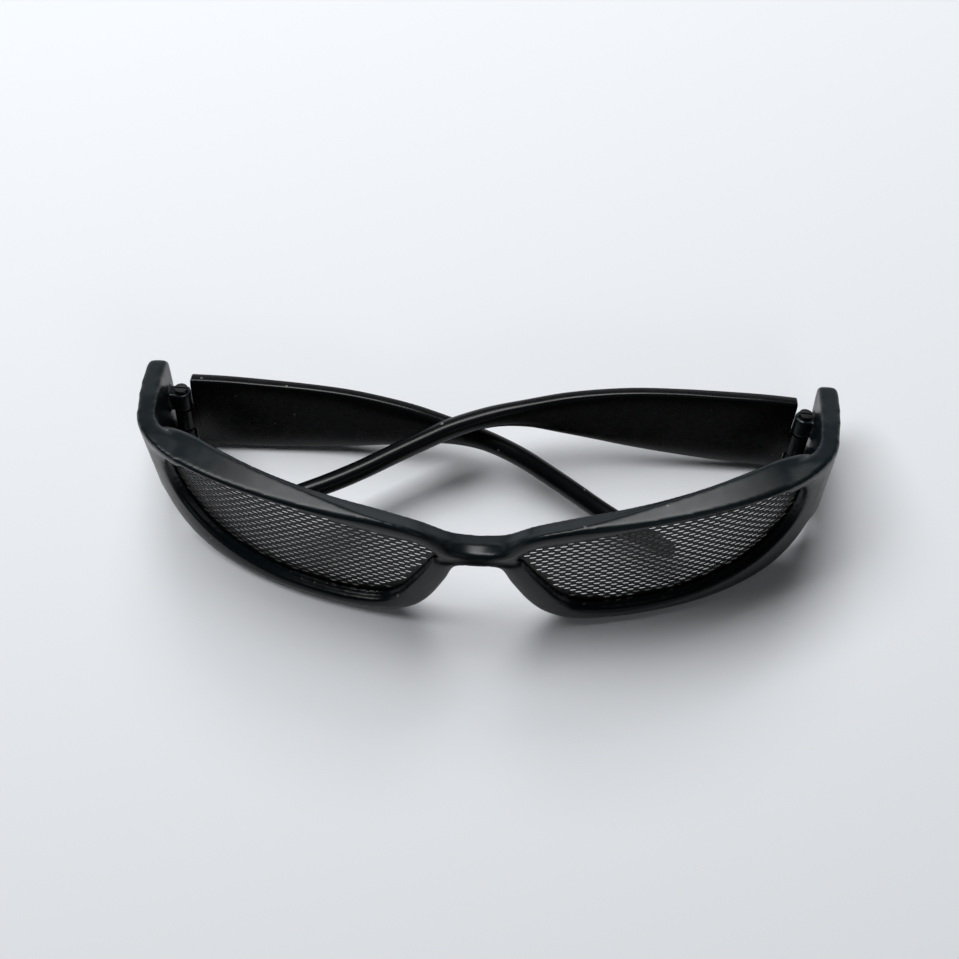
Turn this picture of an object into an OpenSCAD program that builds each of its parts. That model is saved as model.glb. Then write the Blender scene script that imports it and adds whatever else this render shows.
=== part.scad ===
// Mesh safety glasses: a one-piece wraparound front, two perforated steel eye panels and two folding temples.
// They lie as they are put down with folded temples: on the lower rims and the endpieces' lower rear corners.
// Shapes are drawn in the worn frame (x across, y back, z up), then leaned back onto the table.

/* [Front] */
// Width of the rims over their outer ends
front_w = 150; // [144:0.5:156]
// How far the wrap curve runs back at its widest
wrap_depth = 28; // [24:0.5:31]
// How far the endpieces run back from the front of the bridge
end_back = 44; // [42:0.5:46]
// How far each endpiece flares outwards at its rear
flare = 1.2; // [0:0.1:2]
// Lean of the front on the table, in degrees
lean = 27; // [25:0.5:29]
// Depth of the ledge in front of the mesh seat
seat_depth = 3.0; // [2.6:0.1:3.6]
// How much nearer the front the mesh sits at the nose
nose_rise = 1.4; // [1:0.1:1.6]
// Depth of the rear of the rims
rim_depth = 5.0; // [4.6:0.1:5.8]
// Least width of the rims' rear face
rear_w = 1.2; // [1:0.1:1.6]
// Width of the rebate that holds the mesh
rebate_w = 1.2; // [0.9:0.1:1.4]
// Thickness of the endpieces
end_t = 4.2; // [3.8:0.1:4.8]
// Depth of the flats worn on the undersides where they rest
foot_cut = 0.5; // [0.3:0.1:0.8]

/* [Mesh panels] */
// Thickness of the perforated steel
mesh_t = 0.4; // [0.3:0.05:0.8]
// Clearance between a panel's edge and its rebate
mesh_gap = 0.15; // [0.1:0.05:0.3]
// Clearance between a panel and the seat in front of it
seat_gap = 0.1; // [0.05:0.05:0.2]
// Distance between the centres of neighbouring holes
hole_pitch = 3.5; // [3.3:0.1:4.5]
// Width of a hole across its flats
hole_w = 2.5; // [1.8:0.1:2.9]
// Plain margin between the rim's lip and the holes
hole_margin = 1.9; // [1.2:0.1:3]

/* [Temples] */
// Length from the hinge to the last ring of the tip
temple_len = 111; // [107:1:115]
// Thickness of the blade
blade_t = 3.0; // [2.6:0.1:3.2]
// Thickness of the slender rod behind the knee
rod_t = 4.2; // [3.6:0.1:4.6]
// Upward tilt of the right temple, which folds over the left one, in degrees
right_tilt = 4.3; // [4.2:0.1:4.6]
// Downward tilt of the left temple, in degrees
left_tilt = 1.8; // [1.7:0.1:2.1]
// Backward rake of the hinges and temples against the front, in degrees
rake = 12; // [11:0.5:13]

/* [Hinges] */
// Clearance between the hinge barrel and the endpiece
hinge_gap = 0.45; // [0.35:0.05:0.7]
// How far the hinge axis lies ahead of the rear of the endpieces
hinge_in = 7; // [6:0.1:8]
// Height of the middle of the hinge
hinge_z = 25.0; // [24:0.2:26]
// Radius of the hinge barrel
barrel_r = 2.15; // [2:0.05:2.3]
// Height of the temple's knuckle
knuckle_h = 5.4; // [4.6:0.1:6]
// Height of each of the front's knuckles
lug_h = 4.6; // [4:0.1:5.2]
// Free play between knuckles
knuckle_gap = 0.3; // [0.25:0.05:0.4]
// Radius of the screw's shank
screw_r = 0.75; // [0.6:0.05:0.9]
// Running clearance of the shank in the knuckles
screw_gap = 0.06; // [0.03:0.01:0.09]
// Radius of the screw's head
head_r = 1.45; // [1.3:0.05:1.6]
// Height of the screw's head
head_h = 0.9; // [0.7:0.05:1.2]
// Clearance under the screw's head
head_gap = 0.05; // [0.02:0.01:0.1]

/* [Hidden] */
$fn = 32;
half_w = front_w / 2;
far = 200;
black = [0.06, 0.07, 0.075];
steel = [0.16, 0.16, 0.17];
screw_steel = [0.05, 0.05, 0.052];

// Half width of the rims that the rows are drawn for, and the least distance of open edges from the middle
row_half_w = 75;
off_middle = 0.02;
// Each row is one place on the way round the right-hand lens, from the middle of the bridge over the brow,
// down the outer end and back along the lower rim and up the nose side:
// opening x, opening z, lip depth, outline x, outline z, face depth, top land, thickness, rear drop and
// outward angle
rim_rows = [
  [9.0, 29.4, 0.6, 0, 30.7, 0.7, 3.0, 6.3, 1.0, 90],
  [10.2, 32.2, 0.5, 5.6, 32.0, 0.4, 2.8, 6.0, 1.0, 119],
  [14.2, 34.9, 0.4, 11.5, 39.4, 0, 1.0, 4.8, 1.6, 112],
  [21.4, 36.6, 0.4, 20.6, 42.3, 0, 1.0, 5.0, 1.8, 96],
  [29.2, 38.2, 0.7, 29.5, 42.9, 0, 2.8, 5.4, 1.2, 93],
  [38.0, 39.6, 1.2, 39.0, 43.5, 0, 4.6, 5.9, 0.8, 92],
  [47.0, 40.3, 1.5, 48.5, 44.0, 0, 5.8, 6.6, 0.6, 91],
  [56.0, 40.0, 1.7, 57.5, 44.0, 0, 6.6, 7.4, 0.5, 88],
  [63.0, 38.8, 1.7, 65.5, 43.4, 0, 7.0, 7.8, 0.5, 76],
  [67.4, 37.0, 1.2, 71.6, 41.6, 0, 5.4, 6.4, 0.5, 45],
  [69.0, 33.4, 0.7, 74.2, 35.0, 0, 4.6, 5.8, 0.5, 8],
  [68.5, 27.4, 0.5, 74.2, 26.5, 0, 4.2, 5.6, 0.5, -12],
  [65.9, 21.0, 0.4, 71.5, 16.5, 0, 3.8, 5.2, 0.5, -36],
  [60.7, 14.6, 0.4, 65.4, 9.0, 0.1, 3.6, 5.0, 0.5, -52],
  [54.0, 10.2, 0.4, 57.5, 5.0, 0.2, 3.6, 5.0, 0.5, -68],
  [46.5, 7.4, 0.4, 48.5, 2.7, 0.3, 3.6, 4.9, 0.5, -80],
  [38.8, 6.1, 0.4, 39.5, 1.7, 0.3, 3.6, 4.9, 0.5, -88],
  [29.6, 5.6, 0.4, 29.5, 1.2, 0.3, 3.6, 4.9, 0.5, -92],
  [22.4, 6.8, 0.4, 21.1, 1.9, 0.3, 3.6, 4.9, 0.5, -108],
  [18.2, 10.6, 0.4, 15.0, 5.6, 0.2, 3.6, 4.9, 0.5, -136],
  [14.9, 16.5, 0.4, 10.9, 11.4, 0.1, 3.6, 4.9, 0.5, -148],
  [11.9, 22.8, 0.4, 7.2, 20.0, 0, 3.8, 5.0, 0.5, -152],
  [10.2, 26.9, 0.5, 4.6, 26.6, 0, 4.2, 5.4, 0.4, -140],
  [9.0, 28.4, 0.6, 0, 27.2, 0, 4.6, 5.8, 0, -90]];
// Steps drawn between two rows, and how far the edges are rounded
rim_steps = 4;
edge_r = 0.7;
lip_r = 0.5;
face_crown = 0.25;

rows = len(rim_rows);
stations = rows * rim_steps;
function catmull(a, b, c, d, t) = b + (c - a) * t / 2 + (2 * a - 5 * b + 4 * c - d) * t * t / 2
  + (3 * b - a - 3 * c + d) * t * t * t / 2;
// Places across are scaled with the width, and angles become directions
function scaled_row(r) =
  let (wide = half_w / row_half_w)
  [r[0] * wide, r[1], r[2], r[3] * wide, r[4], r[5], r[6], r[7], r[8], cos(r[9]), sin(r[9])];
smooth_rows = [for (r = rim_rows) scaled_row(r)];
function row_at(i) = smooth_rows[(i + rows) % rows];
// At the middle plane the opening runs on round the lens, but the outline runs on into the other half
function across_middle(r, m) = [r[0], r[1], r[2], -m[3], m[4], m[5], m[6], m[7], m[8], -m[9], m[10]];
function row_before(i) = i == 0 ? across_middle(row_at(-1), row_at(1)) : row_at(i - 1);
function row_after(i) = i == rows - 2 ? across_middle(row_at(0), row_at(i)) : row_at(i + 2);
function station(k) =
  let (i = floor(k / rim_steps), t = (k - i * rim_steps) / rim_steps)
  catmull(row_before(i), row_at(i), row_at(i + 1), row_after(i), t);
// The last stretch closes the loop inside the bridge, where both halves meet on the middle plane
function on_middle(k) = k >= (rows - 1) * rim_steps || k == 0;

// A point of the front view carried onto the wrap curve, at a depth behind it
function wrap(x, z, d) =
  let (s = min(x / half_w, 0.9999), c = sqrt(1 - s * s), n = norm([wrap_depth * s, half_w * c]))
  [x - d * wrap_depth * s / n, wrap_depth * (1 - c) + d * half_w * c / n, z];

// Depth of the mesh seat, which comes forward from the nose side of the lens to the nose
seat_nose = 8;
seat_even = 26;
function seat_at(x) =
  let (t = max(0, min(1, (x - seat_nose) / (seat_even - seat_nose))))
  seat_depth - nose_rise * (1 - t) * (1 - t);

function section(k) =
  let (
    v = station(k),
    flat = on_middle(k),
    ox = flat ? 0 : max(v[3], off_middle),
    oz = v[4],
    nx = flat ? 0 : v[9],
    nz = v[10],
    lx = ox - v[0],
    lz = oz - v[1],
    l = sqrt(lx * lx + lz * lz),
    ux = lx / l,
    uz = lz / l,
    drop = min(v[8], l - rebate_w - rear_w),
    edge = flat ? 0 : edge_r,
    place = function(x, z, d) wrap(flat ? max(x, 0) : max(x, off_middle / 2), z, d))
  [place(v[0], v[1], seat_at(v[0])),
   place(v[0], v[1], v[2] + lip_r),
   place(v[0] + lip_r * ux, v[1] + lip_r * uz, v[2]),
   place(v[0] + l * ux / 2, v[1] + l * uz / 2, (v[2] + v[5]) / 2 - face_crown),
   place(ox - edge * nx, oz - edge * nz, v[5]),
   place(ox, oz, v[5] + edge_r),
   place(ox, oz, v[5] + v[6]),
   place(ox - drop * nx, oz - drop * nz, v[5] + v[7] - edge_r),
   place(ox - (drop + edge) * nx, oz - (drop + edge) * nz, v[5] + v[7]),
   place(v[0] + rebate_w * ux, v[1] + rebate_w * uz, rim_depth),
   place(v[0] + rebate_w * ux, v[1] + rebate_w * uz, seat_at(v[0] + rebate_w * ux))];

rings = [for (k = [0:stations - 1]) section(k)];
ring_n = len(rings[0]);
half_points = [for (ring = rings) for (p = ring) p];
half_count = len(half_points);
function at(k, j) = (k % stations) * ring_n + j % ring_n;
// Faces between the halves are left out, because the two halves are one solid
function inside_bridge(k, j) = k >= (rows - 1) * rim_steps && j >= 4 && j <= 7;
half_faces = [for (k = [0:stations - 1]) for (j = [0:ring_n - 1]) if (!inside_bridge(k, j))
  each [[at(k, j), at(k + 1, j + 1), at(k + 1, j)], [at(k, j), at(k, j + 1), at(k + 1, j + 1)]]];

module rims() {
  points = concat(half_points, [for (p = half_points) [-p[0], p[1], p[2]]]);
  other = [for (f = half_faces) [f[2] + half_count, f[1] + half_count, f[0] + half_count]];
  polyhedron(points = points, faces = concat(half_faces, other), convexity = 10);
}

// Height of a worn-frame point above the table once the front leans
function height(y, z) = z * cos(lean) - y * sin(lean);
function reach(y, z) = y * cos(lean) + z * sin(lean);
lift = -foot_cut - min([for (p = half_points) height(p[1], p[2])]);

// Endpiece: a side bar behind the lens that runs back past the hinge, and the top bar that leads into it.
// Both start at an angle on the wrap curve, a little inside the rims' front face.
side_from = 74;
brow_from = 58;
arc_step = 4;
inset = 0.02;
side_top = 43.8;
brow_z = 40.6;
// The lower rear corner reaches the table and is trimmed flat there
foot_y = end_back - 4.6;
foot_z = (foot_y * sin(lean) - lift - foot_cut) / cos(lean);
side_profile = [[9, side_top], [20, 43.3], [31, 41.0], [38.5, 39.0], [end_back - 0.9, 37.8], [end_back, 36],
                [end_back - 3.6, 19.2], [foot_y, foot_z], [foot_y - 5, foot_z + 0.6], [27, 16.2],
                [21, 18.4], [9, 30]];
end_round = 2.8;
// A point of the endpiece, t of the way back from the wrap curve's end and in from its outer face
function flare_at(t) = flare * t * (2 - t);
function side_point(t, in) = [half_w + flare_at(t) - in, wrap_depth + t * (end_back - wrap_depth)];
rear_corner = [half_w + flare - end_round, end_back - end_round];
function arc_point(a, d) =
  let (n = norm([wrap_depth * sin(a), half_w * cos(a)]))
  [half_w * sin(a) - d * wrap_depth * sin(a) / n, wrap_depth * (1 - cos(a)) + d * half_w * cos(a) / n];

module side_plan(from) {
  outer = [for (a = [from:arc_step:90]) arc_point(a, inset)];
  inner = [for (a = [90:-arc_step:from]) arc_point(a, end_t)];
  side = [for (t = [0.2:0.2:0.8]) side_point(t, 0)];
  back = [for (t = [0.8:-0.2:0.2]) side_point(t, end_t)];
  tip = [for (a = [0:15:90]) rear_corner + end_round * [cos(a), sin(a)]];
  polygon(concat(outer, side, tip, [side_point(1, end_t)], back, inner));
}

module endpiece() {
  intersection() {
    union() {
      linear_extrude(side_top) side_plan(side_from);
      translate([0, 0, brow_z]) linear_extrude(side_top - brow_z) side_plan(brow_from);
    }
    rotate([90, 0, 90]) linear_extrude(far) polygon(side_profile);
  }
}

// The front edge of the rims and the rear edge of the endpieces lie equally far from the origin
front_reach = min([for (p = half_points) reach(p[1], p[2])]);
rear_reach = max([for (q = side_profile) reach(q[0], q[1])]);

// Stands the worn-frame shapes on the table and trims them flat where they would reach below it
module stand() {
  intersection() {
    translate([0, -(front_reach + rear_reach) / 2, lift]) rotate([-lean, 0, 0]) children();
    translate([-far, -far, 0]) cube(2 * far);
  }
}

hinge_y = end_back - hinge_in;
hinge_x = half_w + flare_at((hinge_y - wrap_depth) / (end_back - wrap_depth)) - end_t - barrel_r - hinge_gap;

// Hinge shapes are drawn about the hinge's own axis, with the temple folded towards -X
module at_hinge(tilt) {
  translate([hinge_x, hinge_y, hinge_z]) rotate([-rake, 0, 0]) rotate([0, tilt, 0]) children();
}

lug_z = knuckle_h / 2 + knuckle_gap + lug_h / 2;
lug_w = 1.7 * barrel_r;
stack_h = knuckle_h + 2 * knuckle_gap + 2 * lug_h;
// How far the lugs are sunk in the endpiece
lug_root = 1;

module front_knuckles() {
  arm = barrel_r + hinge_gap + lug_root;
  for (side = [-1, 1]) translate([0, 0, side * lug_z]) {
    cylinder(r = barrel_r, h = lug_h, center = true);
    translate([arm / 2, 0, 0]) cube([arm, lug_w, lug_h], center = true);
  }
}

module half_fittings(tilt) {
  endpiece();
  at_hinge(tilt) front_knuckles();
}

module screw_bore(tilt) {
  at_hinge(tilt) cylinder(r = screw_r + screw_gap, h = 2 * stack_h, center = true);
}

module front_frame() {
  color(black) stand() difference() {
    union() {
      rims();
      half_fittings(right_tilt);
      mirror([1, 0, 0]) half_fittings(-left_tilt);
    }
    screw_bore(right_tilt);
    mirror([1, 0, 0]) screw_bore(-left_tilt);
  }
}

// Mesh panel: the rim's opening, widened into the rebate, cut from a thin skin that follows the wrap curve
function sheet_depth(x) = seat_at(x) + seat_gap;
function beside(k, w) =
  let (v = station(k), ox = max(v[3], 0), l = norm([ox - v[0], v[4] - v[1]]),
       x = v[0] + w * (ox - v[0]) / l, p = wrap(x, v[1] + w * (v[4] - v[1]) / l, sheet_depth(x) + mesh_t))
  [p[0], p[2]];
mesh_outline = [for (k = [0:stations - 1]) beside(k, rebate_w - mesh_gap)];
lip_outline = [for (k = [0:2:stations - 1]) beside(k, 0)];
// The skin's first and last angle on the wrap curve, and the angles between which holes are tried
band_from = 4;
band_to = 74;
columns_from = 6;
columns_to = 80;

function edge_gap(p, a, b) =
  let (t = max(0, min(1, ((p - a) * (b - a)) / ((b - a) * (b - a))))) norm(p - a - t * (b - a));
function crosses(p, a, b) = (a[1] > p[1]) != (b[1] > p[1])
  && p[0] < (b[0] - a[0]) * (p[1] - a[1]) / (b[1] - a[1]) + a[0];
function within(p, loop) = let (n = len(loop))
  len([for (i = [0:n - 1]) if (crosses(p, loop[i], loop[(i + 1) % n])) 1]) % 2 == 1;
function clear_by(p, loop) = let (n = len(loop))
  min([for (i = [0:n - 1]) edge_gap(p, loop[i], loop[(i + 1) % n])]);

// A point of the sheet at an angle on the wrap curve, and a depth behind its front face
function sheet_point(a, d) = arc_point(a, sheet_depth(half_w * sin(a)) + d);

// Angle on the wrap curve for each half pitch measured along the sheet
function angles_from(a) = a > columns_to ? [] :
  concat([a], angles_from(a + hole_pitch / 2 * 180 / PI / norm([half_w * cos(a), wrap_depth * sin(a)])));
columns = angles_from(columns_from);
row_h = hole_pitch * sqrt(3) / 2;
levels = floor(side_top / row_h);
holes = [for (i = [0:len(columns) - 1]) for (j = [0:levels])
  let (a = columns[i], p = sheet_point(a, mesh_t / 2), q = [p[0], j * row_h])
  if ((i + j) % 2 == 0 && within(q, lip_outline) && clear_by(q, lip_outline) > hole_margin + hole_w / 2)
    [a, p[0], p[1], j * row_h]];

module mesh_panel() {
  skin = concat([for (a = [band_from:2:band_to]) sheet_point(a, 0)],
                [for (a = [band_to:-2:band_from]) sheet_point(a, mesh_t)]);
  difference() {
    intersection() {
      linear_extrude(side_top) polygon(skin);
      rotate([90, 0, 0]) translate([0, 0, -end_back]) linear_extrude(end_back) polygon(mesh_outline);
    }
    for (h = holes)
      translate([h[1], h[2], h[3]])
        rotate([90, 0, atan(wrap_depth * tan(h[0]) / half_w)])
          rotate([0, 0, 30]) cylinder(r = hole_w / sqrt(3), h = 4 * mesh_t, center = true, $fn = 6);
  }
}

module right_mesh() {
  color(steel) stand() mesh_panel();
}

module left_mesh() {
  color(steel) stand() mirror([1, 0, 0]) mesh_panel();
}

// Temple rows, from the hinge to the tip: distance from the hinge, offset back, offset up, half height,
// thickness and squareness of the section. The wide blade narrows at the knee to a slender rod, which
// bends down and in.
temple_rows = [
  [2.8, 0.4, 1.95, 9.8, blade_t, 7],
  [10, 0.4, 1.95, 9.9, blade_t, 7],
  [19, 0.4, 1.95, 9.6, blade_t, 7],
  [28, 0.4, 2.05, 9.1, blade_t, 6],
  [37, 0.2, 2.3, 8.2, blade_t, 6],
  [45, -0.2, 2.5, 6.9, blade_t + 0.2, 5],
  [53, -0.9, 2.6, 5.3, blade_t + 0.5, 4],
  [61, -1.9, 2.4, 3.4, rod_t - 0.5, 3],
  [69, -3.4, 1.5, 2.35, rod_t - 0.1, 2.4],
  [77, -5.4, -1.0, 2.2, rod_t, 2.2],
  [84, -7.5, -4.4, 2.2, rod_t, 2.2],
  [90, -9.7, -7.2, 2.2, rod_t, 2.2],
  [96, -12.2, -9.8, 2.2, rod_t, 2.2],
  [103, -15.3, -12.0, 2.2, rod_t, 2.2],
  [temple_len, -19.0, -13.4, 2.0, rod_t - 0.4, 2.2]];
temple_steps = 3;
temple_last = len(temple_rows) - 1;
function temple_row(i) = temple_rows[max(0, min(temple_last, i))];
function temple_station(k) =
  let (i = floor(k / temple_steps), t = (k - i * temple_steps) / temple_steps)
  catmull(temple_row(i - 1), temple_row(i), temple_row(i + 1), temple_row(i + 2), t);
temple_count = temple_last * temple_steps;
sides = 16;
function path_point(k) = let (v = temple_station(max(0, min(temple_count, k)))) [-v[0], v[1], v[2]];
function signed_power(v, e) = sign(v) * pow(abs(v), e);

function temple_ring(k, size, past) =
  let (
    v = temple_station(k),
    run = path_point(k + 1) - path_point(k - 1),
    along = run / norm(run),
    side = cross([0, 0, 1], along),
    across = side / norm(side),
    up = cross(along, across),
    c = path_point(k) + past * along)
  [for (i = [0:sides - 1])
    let (a = 360 * (i + 0.5) / sides, e = 2 / v[5])
    c + size * (across * v[4] / 2 * signed_power(cos(a), e) + up * v[3] * signed_power(sin(a), e))];

// The ends are closed by two smaller rings, so that no edge is sharp
temple_rings = concat(
  [temple_ring(0, 0.93, -0.25)],
  [for (k = [0:temple_count]) temple_ring(k, 1, 0)],
  [temple_ring(temple_count, 0.84, 1.1), temple_ring(temple_count, 0.45, 1.7)]);

module temple_body() {
  n = len(temple_rings);
  points = [for (ring = temple_rings) for (p = ring) p];
  skin = [for (k = [0:n - 2]) for (i = [0:sides - 1]) let (j = (i + 1) % sides)
    each [[k * sides + i, (k + 1) * sides + j, k * sides + j],
          [k * sides + i, (k + 1) * sides + i, (k + 1) * sides + j]]];
  first = [for (i = [0:sides - 1]) i];
  last = [for (i = [sides - 1:-1:0]) (n - 1) * sides + i];
  polyhedron(points = points, faces = concat(skin, [first, last]), convexity = 6);
}

// The web that joins the knuckle to the blade
web_l = 3.6;
web_t = 2.2;
web_at = [-2.1, 0.3, 0];

module temple(tilt) {
  at_hinge(tilt) difference() {
    union() {
      temple_body();
      cylinder(r = barrel_r, h = knuckle_h, center = true);
      translate(web_at) cube([web_l, web_t, knuckle_h], center = true);
    }
    cylinder(r = screw_r + screw_gap, h = 2 * stack_h, center = true);
  }
}

module right_temple() {
  color(black) stand() temple(right_tilt);
}

module left_temple() {
  color(black) stand() mirror([1, 0, 0]) temple(-left_tilt);
}

// Hinge screw: a pan head with a driver slot, and a shank through all three knuckles
slot_w = 0.4;
slot_depth = 0.45;
shank_out = 0.3;

module hinge_screw() {
  head_z = stack_h / 2 + head_gap;
  shank_from = -stack_h / 2 - shank_out;
  difference() {
    union() {
      translate([0, 0, shank_from]) cylinder(r = screw_r, h = head_z + head_h / 2 - shank_from);
      translate([0, 0, head_z]) cylinder(r = head_r, h = head_h);
    }
    translate([0, 0, head_z + head_h]) cube([4 * head_r, slot_w, 2 * slot_depth], center = true);
  }
}

module right_hinge_screw() {
  color(screw_steel) stand() at_hinge(right_tilt) hinge_screw();
}

module left_hinge_screw() {
  color(screw_steel) stand() mirror([1, 0, 0]) at_hinge(-left_tilt) hinge_screw();
}

front_frame();
left_mesh();
right_mesh();
left_temple();
right_temple();
left_hinge_screw();
right_hinge_screw();
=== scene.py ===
import math
import bmesh
import bpy
import numpy as np
from mathutils import Matrix, Vector


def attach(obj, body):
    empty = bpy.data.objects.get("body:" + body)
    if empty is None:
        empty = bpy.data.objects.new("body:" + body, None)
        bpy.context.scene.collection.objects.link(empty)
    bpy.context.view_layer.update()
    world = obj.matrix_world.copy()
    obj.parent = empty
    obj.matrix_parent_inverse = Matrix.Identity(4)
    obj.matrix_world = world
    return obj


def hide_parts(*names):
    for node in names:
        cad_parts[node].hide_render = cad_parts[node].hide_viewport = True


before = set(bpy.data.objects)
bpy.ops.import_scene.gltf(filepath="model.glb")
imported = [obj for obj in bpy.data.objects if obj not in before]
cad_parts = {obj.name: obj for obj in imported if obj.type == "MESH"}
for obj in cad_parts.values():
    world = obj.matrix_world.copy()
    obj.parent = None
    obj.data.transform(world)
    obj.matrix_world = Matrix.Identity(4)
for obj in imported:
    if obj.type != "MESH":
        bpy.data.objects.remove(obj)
scene = bpy.context.scene
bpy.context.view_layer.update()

# The front is one moulding of satin black plastic: both lens rims, the bridge, the brow bar,
# an endpiece behind each lens and two knuckles of each hinge. A loft runs round each lens, and
# the endpieces and knuckles are joined to it and blended in at the outer corners.

# In the worn frame x goes across, y back and z up in millimetres, with the front upright.
# The front leans back onto the table, and the footprint's middle is the origin.
LEAN = math.radians(27)
LIFT = 1.819
SHIFT = -29.011
# Half the width over the rims, how far back the wrap curve goes at its ends, and the share of the
# half width at which it stops, short of running straight back
HALF_W = 75
WRAP = 28
CURVE_END = 0.9999


def stand(points):
    """Worn-frame millimetres to row-frame metres."""
    p = np.asarray(points, float)
    y = p[:, 1] * math.cos(LEAN) + p[:, 2] * math.sin(LEAN) + SHIFT
    z = p[:, 2] * math.cos(LEAN) - p[:, 1] * math.sin(LEAN) + LIFT
    return np.stack([p[:, 0], y, z], 1) / 1000


def wrap_point(x, z, depth):
    """A point of the front view at x and z, carried onto the wrap curve and moved back by depth."""
    s = min(x / HALF_W, CURVE_END)
    c = math.sqrt(1 - s * s)
    n = math.hypot(WRAP * s, HALF_W * c)
    return np.array([x - depth * WRAP * s / n, WRAP * (1 - c) + depth * HALF_W * c / n, z])


def new_piece(name, points, faces):
    """A mesh piece from points in metres."""
    mesh = bpy.data.meshes.new(name)
    mesh.from_pydata([tuple(p) for p in points], [], [tuple(f) for f in faces])
    mesh.update()
    obj = bpy.data.objects.new(name, mesh)
    scene.collection.objects.link(obj)
    return obj


def turn_faces_out(obj, merge=0):
    """Turns all faces outwards, after points nearer than merge are made one."""
    work = bmesh.new()
    work.from_mesh(obj.data)
    if merge:
        bmesh.ops.remove_doubles(work, verts=work.verts, dist=merge)
    bmesh.ops.recalc_face_normals(work, faces=work.faces)
    work.to_mesh(obj.data)
    work.free()


def smooth_between(a, b, c, d, t):
    """A point on the smooth curve from b to c, with a before and d after them."""
    bend = 2 * a - 5 * b + 4 * c - d
    twist = 3 * b - a - 3 * c + d
    return b + (c - a) * t / 2 + bend * t * t / 2 + twist * t ** 3 / 2


# Each row holds the opening's x and z, the lip's depth, the outline's x and z, the face's depth,
# the top land, the thickness, the rear drop and the outward angle.
rim_rows = [
    [9.0, 29.4, 0.6, 0, 30.7, 0.7, 3.0, 6.3, 1.0, 90],
    [10.2, 32.2, 0.5, 5.6, 32.4, 0.4, 2.8, 6.0, 1.0, 119],
    [14.2, 34.9, 0.4, 11.5, 39.4, 0, 1.0, 4.8, 1.6, 112],
    [21.4, 36.6, 0.4, 20.6, 42.3, 0, 1.0, 5.0, 1.8, 96],
    [29.2, 38.2, 0.7, 29.5, 42.9, 0, 2.8, 5.4, 1.2, 93],
    [38.0, 39.6, 1.2, 39.0, 43.5, 0, 4.6, 5.9, 0.8, 92],
    [47.0, 40.3, 1.5, 48.5, 44.0, 0, 5.8, 6.6, 0.6, 91],
    [56.0, 40.0, 1.7, 57.5, 44.0, 0, 6.6, 7.4, 0.5, 88],
    [63.0, 38.8, 1.7, 65.5, 43.4, 0, 7.0, 7.8, 0.5, 76],
    [67.4, 37.0, 1.2, 71.6, 41.6, 0, 5.4, 6.4, 0.5, 45],
    [69.0, 33.4, 0.7, 74.2, 35.0, 0, 4.6, 5.8, 0.5, 8],
    [68.5, 27.4, 0.5, 74.2, 26.5, 0, 4.2, 5.6, 0.5, -12],
    [65.9, 21.0, 0.4, 71.5, 16.5, 0, 3.8, 5.2, 0.5, -36],
    [60.7, 14.6, 0.4, 65.4, 9.0, 0.1, 3.6, 5.0, 0.5, -52],
    [54.0, 10.2, 0.4, 57.5, 5.0, 0.2, 3.6, 5.0, 0.5, -68],
    [46.5, 7.4, 0.4, 48.5, 2.7, 0.3, 3.6, 4.9, 0.5, -80],
    [38.8, 6.1, 0.4, 39.5, 1.7, 0.3, 3.6, 4.9, 0.5, -88],
    [29.6, 5.6, 0.4, 29.5, 1.2, 0.3, 3.6, 4.9, 0.5, -92],
    [22.4, 6.8, 0.4, 21.1, 1.9, 0.3, 3.6, 4.9, 0.5, -108],
    [18.2, 10.6, 0.4, 15.0, 5.6, 0.2, 3.6, 4.9, 0.5, -136],
    [14.9, 16.5, 0.4, 10.9, 11.4, 0.1, 3.6, 4.9, 0.5, -148],
    [11.9, 22.8, 0.4, 7.2, 20.0, 0, 3.8, 5.0, 0.5, -152],
    [10.2, 26.9, 0.5, 4.6, 26.6, 0, 4.2, 5.4, 0.4, -140],
    [9.0, 28.4, 0.6, 0, 27.2, 0, 4.6, 5.8, 0, -90]]
rim_rows = np.array([r[:9] + [math.cos(math.radians(r[9])), math.sin(math.radians(r[9]))] for r in rim_rows])
ROWS = len(rim_rows)
# Signs that carry a row's outline half, from the outline's x on, over the middle plane
OTHER_HALF = np.array([-1, 1, 1, 1, 1, 1, -1, 1])


def rim_row(k):
    """The rim's row at a fractional number. The outline runs on past the middle plane."""
    i = math.floor(k)
    near = [rim_rows[(i + j) % ROWS].copy() for j in (-1, 0, 1, 2)]
    if i == 0:
        near[0][3:] = rim_rows[1][3:] * OTHER_HALF
    if i == ROWS - 2:
        near[3][3:] = rim_rows[i][3:] * OTHER_HALF
    return smooth_between(*near, k - i)


# The mesh panel sits against a seat, in a rebate behind the lip. The seat comes forward by up to
# NOSE_RISE towards the nose, from SEAT_EVEN across to SEAT_NOSE.
SEAT = 3.0
NOSE_RISE = 1.4
SEAT_NOSE, SEAT_EVEN = 8, 26
REAR = 5.0
REBATE = 1.2
# The step between the seat and the lip: its width, and its two heights above the seat. Where the
# lip is deep, each height is at most a share of the room between them.
LEDGE = 0.5
LEDGE_LOW, LEDGE_LOW_SHARE = 0.7, 0.4
LEDGE_TOP, LEDGE_TOP_SHARE = 0.85, 0.6
# Roundings of the lip and of the outer edges, the bulge of the front face, the least width of the
# rear, and how near a section outside the middle plane may come to it
LIP_R = 0.55
EDGE_R = 0.95
CROWN = 0.3
REAR_LAND = 1.2
OFF_MIDDLE = 0.02
quarter = [math.radians(a) for a in range(0, 91, 18)]


def seat_at(x):
    """Depth of the mesh seat, which comes forward towards the nose."""
    t = min(1.0, max(0.0, (x - SEAT_NOSE) / (SEAT_EVEN - SEAT_NOSE)))
    return SEAT - NOSE_RISE * (1 - t) ** 2


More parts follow.
